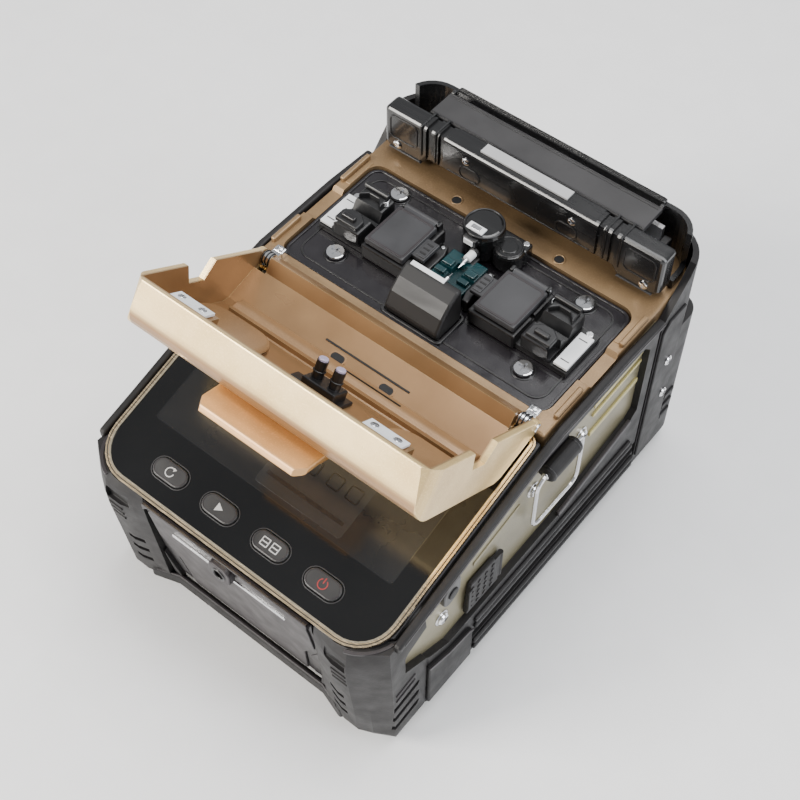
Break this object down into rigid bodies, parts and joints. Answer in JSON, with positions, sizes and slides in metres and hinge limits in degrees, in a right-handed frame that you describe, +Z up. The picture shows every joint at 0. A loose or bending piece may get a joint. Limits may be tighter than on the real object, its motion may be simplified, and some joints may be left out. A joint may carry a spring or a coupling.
{
  "type": "optical fiber fusion splicer",
  "caption": "Portable optical fibre fusion splicer: sloping display with keys, hinged wind cover standing open over the splice stages, tube heater behind, rubber armour round the case.",
  "frame": {"origin": "centre of the middle foot pad under the case, on the surface the feet rest on", "axes": "+Z up, +X to the operator's right, +Y from the display at the front to the heater at the back"},
  "size_m": [0.1318, 0.178, 0.1334],
  "materials": {
    "olive_gold": "satin champagne-olive painted alloy side plate",
    "champagne_gold": "satin bronze-gold painted chamber surround",
    "cover_gold": "satin champagne paint, moulded inside",
    "tab_gold": "satin orange-gold pull tab",
    "trim_gold": "bright chamfered gold trim",
    "armour_rubber": "dark moulded armour",
    "frame_grey": "purple-grey textured plastic",
    "gloss_black": "glossy black plastic",
    "satin_black": "satin black plastic and anodised blocks",
    "lid_grey": "satin mid-grey lids",
    "key_grey": "dark-grey keys with pale icons",
    "lcd": "display behind the cover glass",
    "steel": "bright steel fittings",
    "aluminium": "bare aluminium heater channel",
    "white_plate": "white pads and plates",
    "ceramic": "teal-black ceramic",
    "board": "circuit board"
  },
  "bodies": {
    "chassis": {"base_plate": "armour_rubber", "battery_pack": "satin_black", "chamber_frame": "champagne_gold", "chamber_tray": "satin_black", "display_frame": "frame_grey", "display_glass": "gloss_black", "display_trim": "trim_gold", "electrode_front": "steel", "electrode_rear": "steel", "front_guard": "armour_rubber", "front_optics_cover": "gloss_black", "front_panel": "frame_grey", "front_strip": "steel", "heater_plate": "ceramic", "heater_trough": "aluminium", "hinge_bracket_left": "steel", "hinge_bracket_right": "steel", "hinge_pin_left": "steel", "hinge_pin_right": "steel", "key_board": "board", "lcd_module": "lcd", "lower_case": "olive_gold", "main_board": "board", "rear_guard_left": "armour_rubber", "rear_guard_right": "armour_rubber", "rear_hood": "gloss_black", "rear_optics_cover": "gloss_black", "rear_panel": "satin_black", "side_guard_left": "armour_rubber", "side_guard_right": "armour_rubber", "strap_lug_left": "armour_rubber", "strap_lug_right": "armour_rubber", "tray_screw_front_left": "steel", "tray_screw_front_right": "steel", "tray_screw_rear_left": "steel", "tray_screw_rear_right": "steel", "vgroove_block": "ceramic"},
    "reset_key_body": {"reset_key": "key_grey"},
    "splice_key_body": {"splice_key": "key_grey"},
    "view_key_body": {"view_key": "key_grey"},
    "power_key_body": {"power_key": "key_grey"},
    "wind_cover": {"wind_cover": "cover_gold", "pull_tab": "tab_gold", "pad_plate_left": "white_plate", "pad_plate_right": "white_plate", "lamp_module": "gloss_black"},
    "left_stage": {"clamp_base_left": "satin_black", "guide_block_left": "satin_black", "guide_plate_left": "white_plate"},
    "left_clamp": {"clamp_lid_left": "lid_grey"},
    "left_ring": {"strap_ring_left": "steel"},
    "right_stage": {"clamp_base_right": "satin_black", "guide_block_right": "satin_black", "guide_plate_right": "white_plate"},
    "right_clamp": {"clamp_lid_right": "lid_grey"},
    "right_ring": {"strap_ring_right": "steel"},
    "heater_lid": {"heater_lid": "lid_grey", "heater_bar": "gloss_black", "heater_seat_plate": "white_plate"},
    "port_hatch": {"port_hatch": "armour_rubber"}
  },
  "joints": [
    {"name": "reset_key_press", "type": "slide", "parent": "chassis", "child": "reset_key_body", "axis": [0, 0.2748, -0.9615], "range_m": [0, 0.0008], "stiffness_N_per_m": 400},
    {"name": "splice_key_press", "type": "slide", "parent": "chassis", "child": "splice_key_body", "axis": [0, 0.2748, -0.9615], "range_m": [0, 0.0008], "stiffness_N_per_m": 400},
    {"name": "view_key_press", "type": "slide", "parent": "chassis", "child": "view_key_body", "axis": [0, 0.2748, -0.9615], "range_m": [0, 0.0008], "stiffness_N_per_m": 400},
    {"name": "power_key_press", "type": "slide", "parent": "chassis", "child": "power_key_body", "axis": [0, 0.2748, -0.9615], "range_m": [0, 0.0008], "stiffness_N_per_m": 400},
    {"name": "wind_cover_hinge", "type": "hinge", "parent": "chassis", "child": "wind_cover", "pos_m": [0, -0.0025, 0.0972], "axis": [-1, 0, 0], "range_deg": [0, 147]},
    {"name": "left_stage_slide", "type": "slide", "parent": "chassis", "child": "left_stage", "axis": [1, 0, 0], "range_m": [-0.0012, 0.0012]},
    {"name": "left_clamp_hinge", "type": "hinge", "parent": "left_stage", "child": "left_clamp", "pos_m": [-0.0225, 0.0414, 0.1012], "axis": [1, 0, 0], "range_deg": [-85, 0]},
    {"name": "left_ring_hinge", "type": "hinge", "parent": "chassis", "child": "left_ring", "pos_m": [-0.0627, 0.0047, 0.078], "axis": [0, 1, 0], "range_deg": [0, 100]},
    {"name": "right_stage_slide", "type": "slide", "parent": "chassis", "child": "right_stage", "axis": [-1, 0, 0], "range_m": [-0.0012, 0.0012]},
    {"name": "right_clamp_hinge", "type": "hinge", "parent": "right_stage", "child": "right_clamp", "pos_m": [0.0225, 0.0414, 0.1012], "axis": [1, 0, 0], "range_deg": [-85, 0]},
    {"name": "right_ring_hinge", "type": "hinge", "parent": "chassis", "child": "right_ring", "pos_m": [0.0627, 0.0047, 0.078], "axis": [0, -1, 0], "range_deg": [0, 100]},
    {"name": "heater_lid_hinge", "type": "hinge", "parent": "chassis", "child": "heater_lid", "pos_m": [0, 0.0846, 0.1132], "axis": [-1, 0, 0], "range_deg": [0, 90]},
    {"name": "port_hatch_hinge", "type": "hinge", "parent": "chassis", "child": "port_hatch", "pos_m": [0.0608, -0.0225, 0.0475], "axis": [0, 0, 1], "range_deg": [0, 100]}
  ]
}
